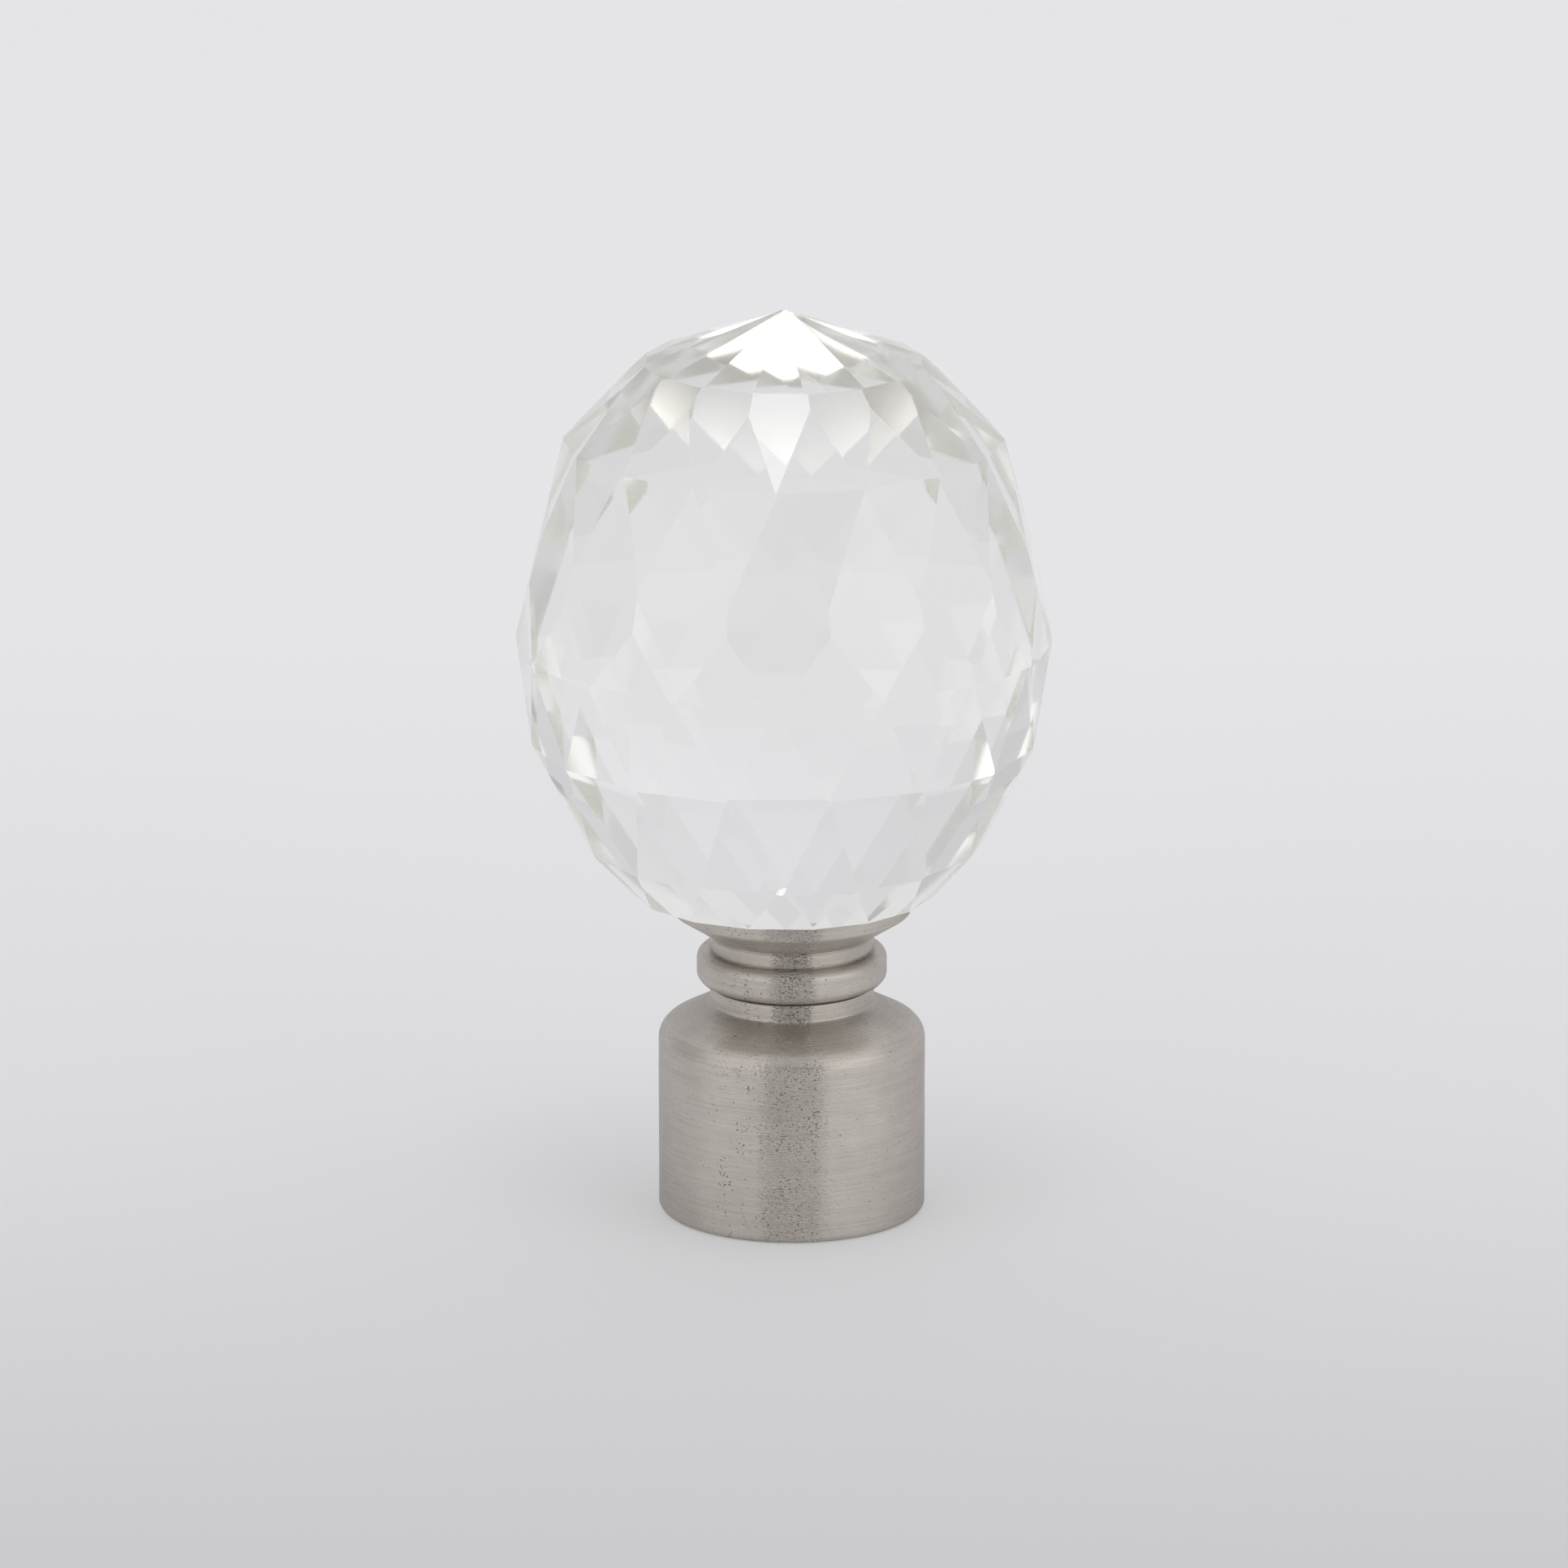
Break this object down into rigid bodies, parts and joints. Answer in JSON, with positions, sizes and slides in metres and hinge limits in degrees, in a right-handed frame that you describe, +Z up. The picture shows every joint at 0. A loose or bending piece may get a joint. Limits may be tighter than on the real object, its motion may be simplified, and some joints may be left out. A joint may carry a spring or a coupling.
{
  "type": "curtain rod finial",
  "caption": "Curtain rod finial: a facet-cut clear crystal ball on a round, brushed nickel collar with a ringed neck and a blind socket for the rod's end.",
  "frame": {"origin": "under the ball's centre, on the plane of the collar's underside; the collar's own axis is 0.9 mm from it, towards +X", "axes": "+Z up, parallel to the collar's axis, from the rod socket towards the ball's point; -Y towards the picture's camera; +X to the right in the picture"},
  "size_m": [0.06, 0.06, 0.104],
  "materials": {
    "crystal": "clear, polished flat facets",
    "nickel": "brushed warm grey nickel plate on a cast body, with fine turning lines and small casting pits"
  },
  "bodies": {
    "root": {"crystal_ball": "crystal", "metal_collar": "nickel"}
  },
  "joints": []
}
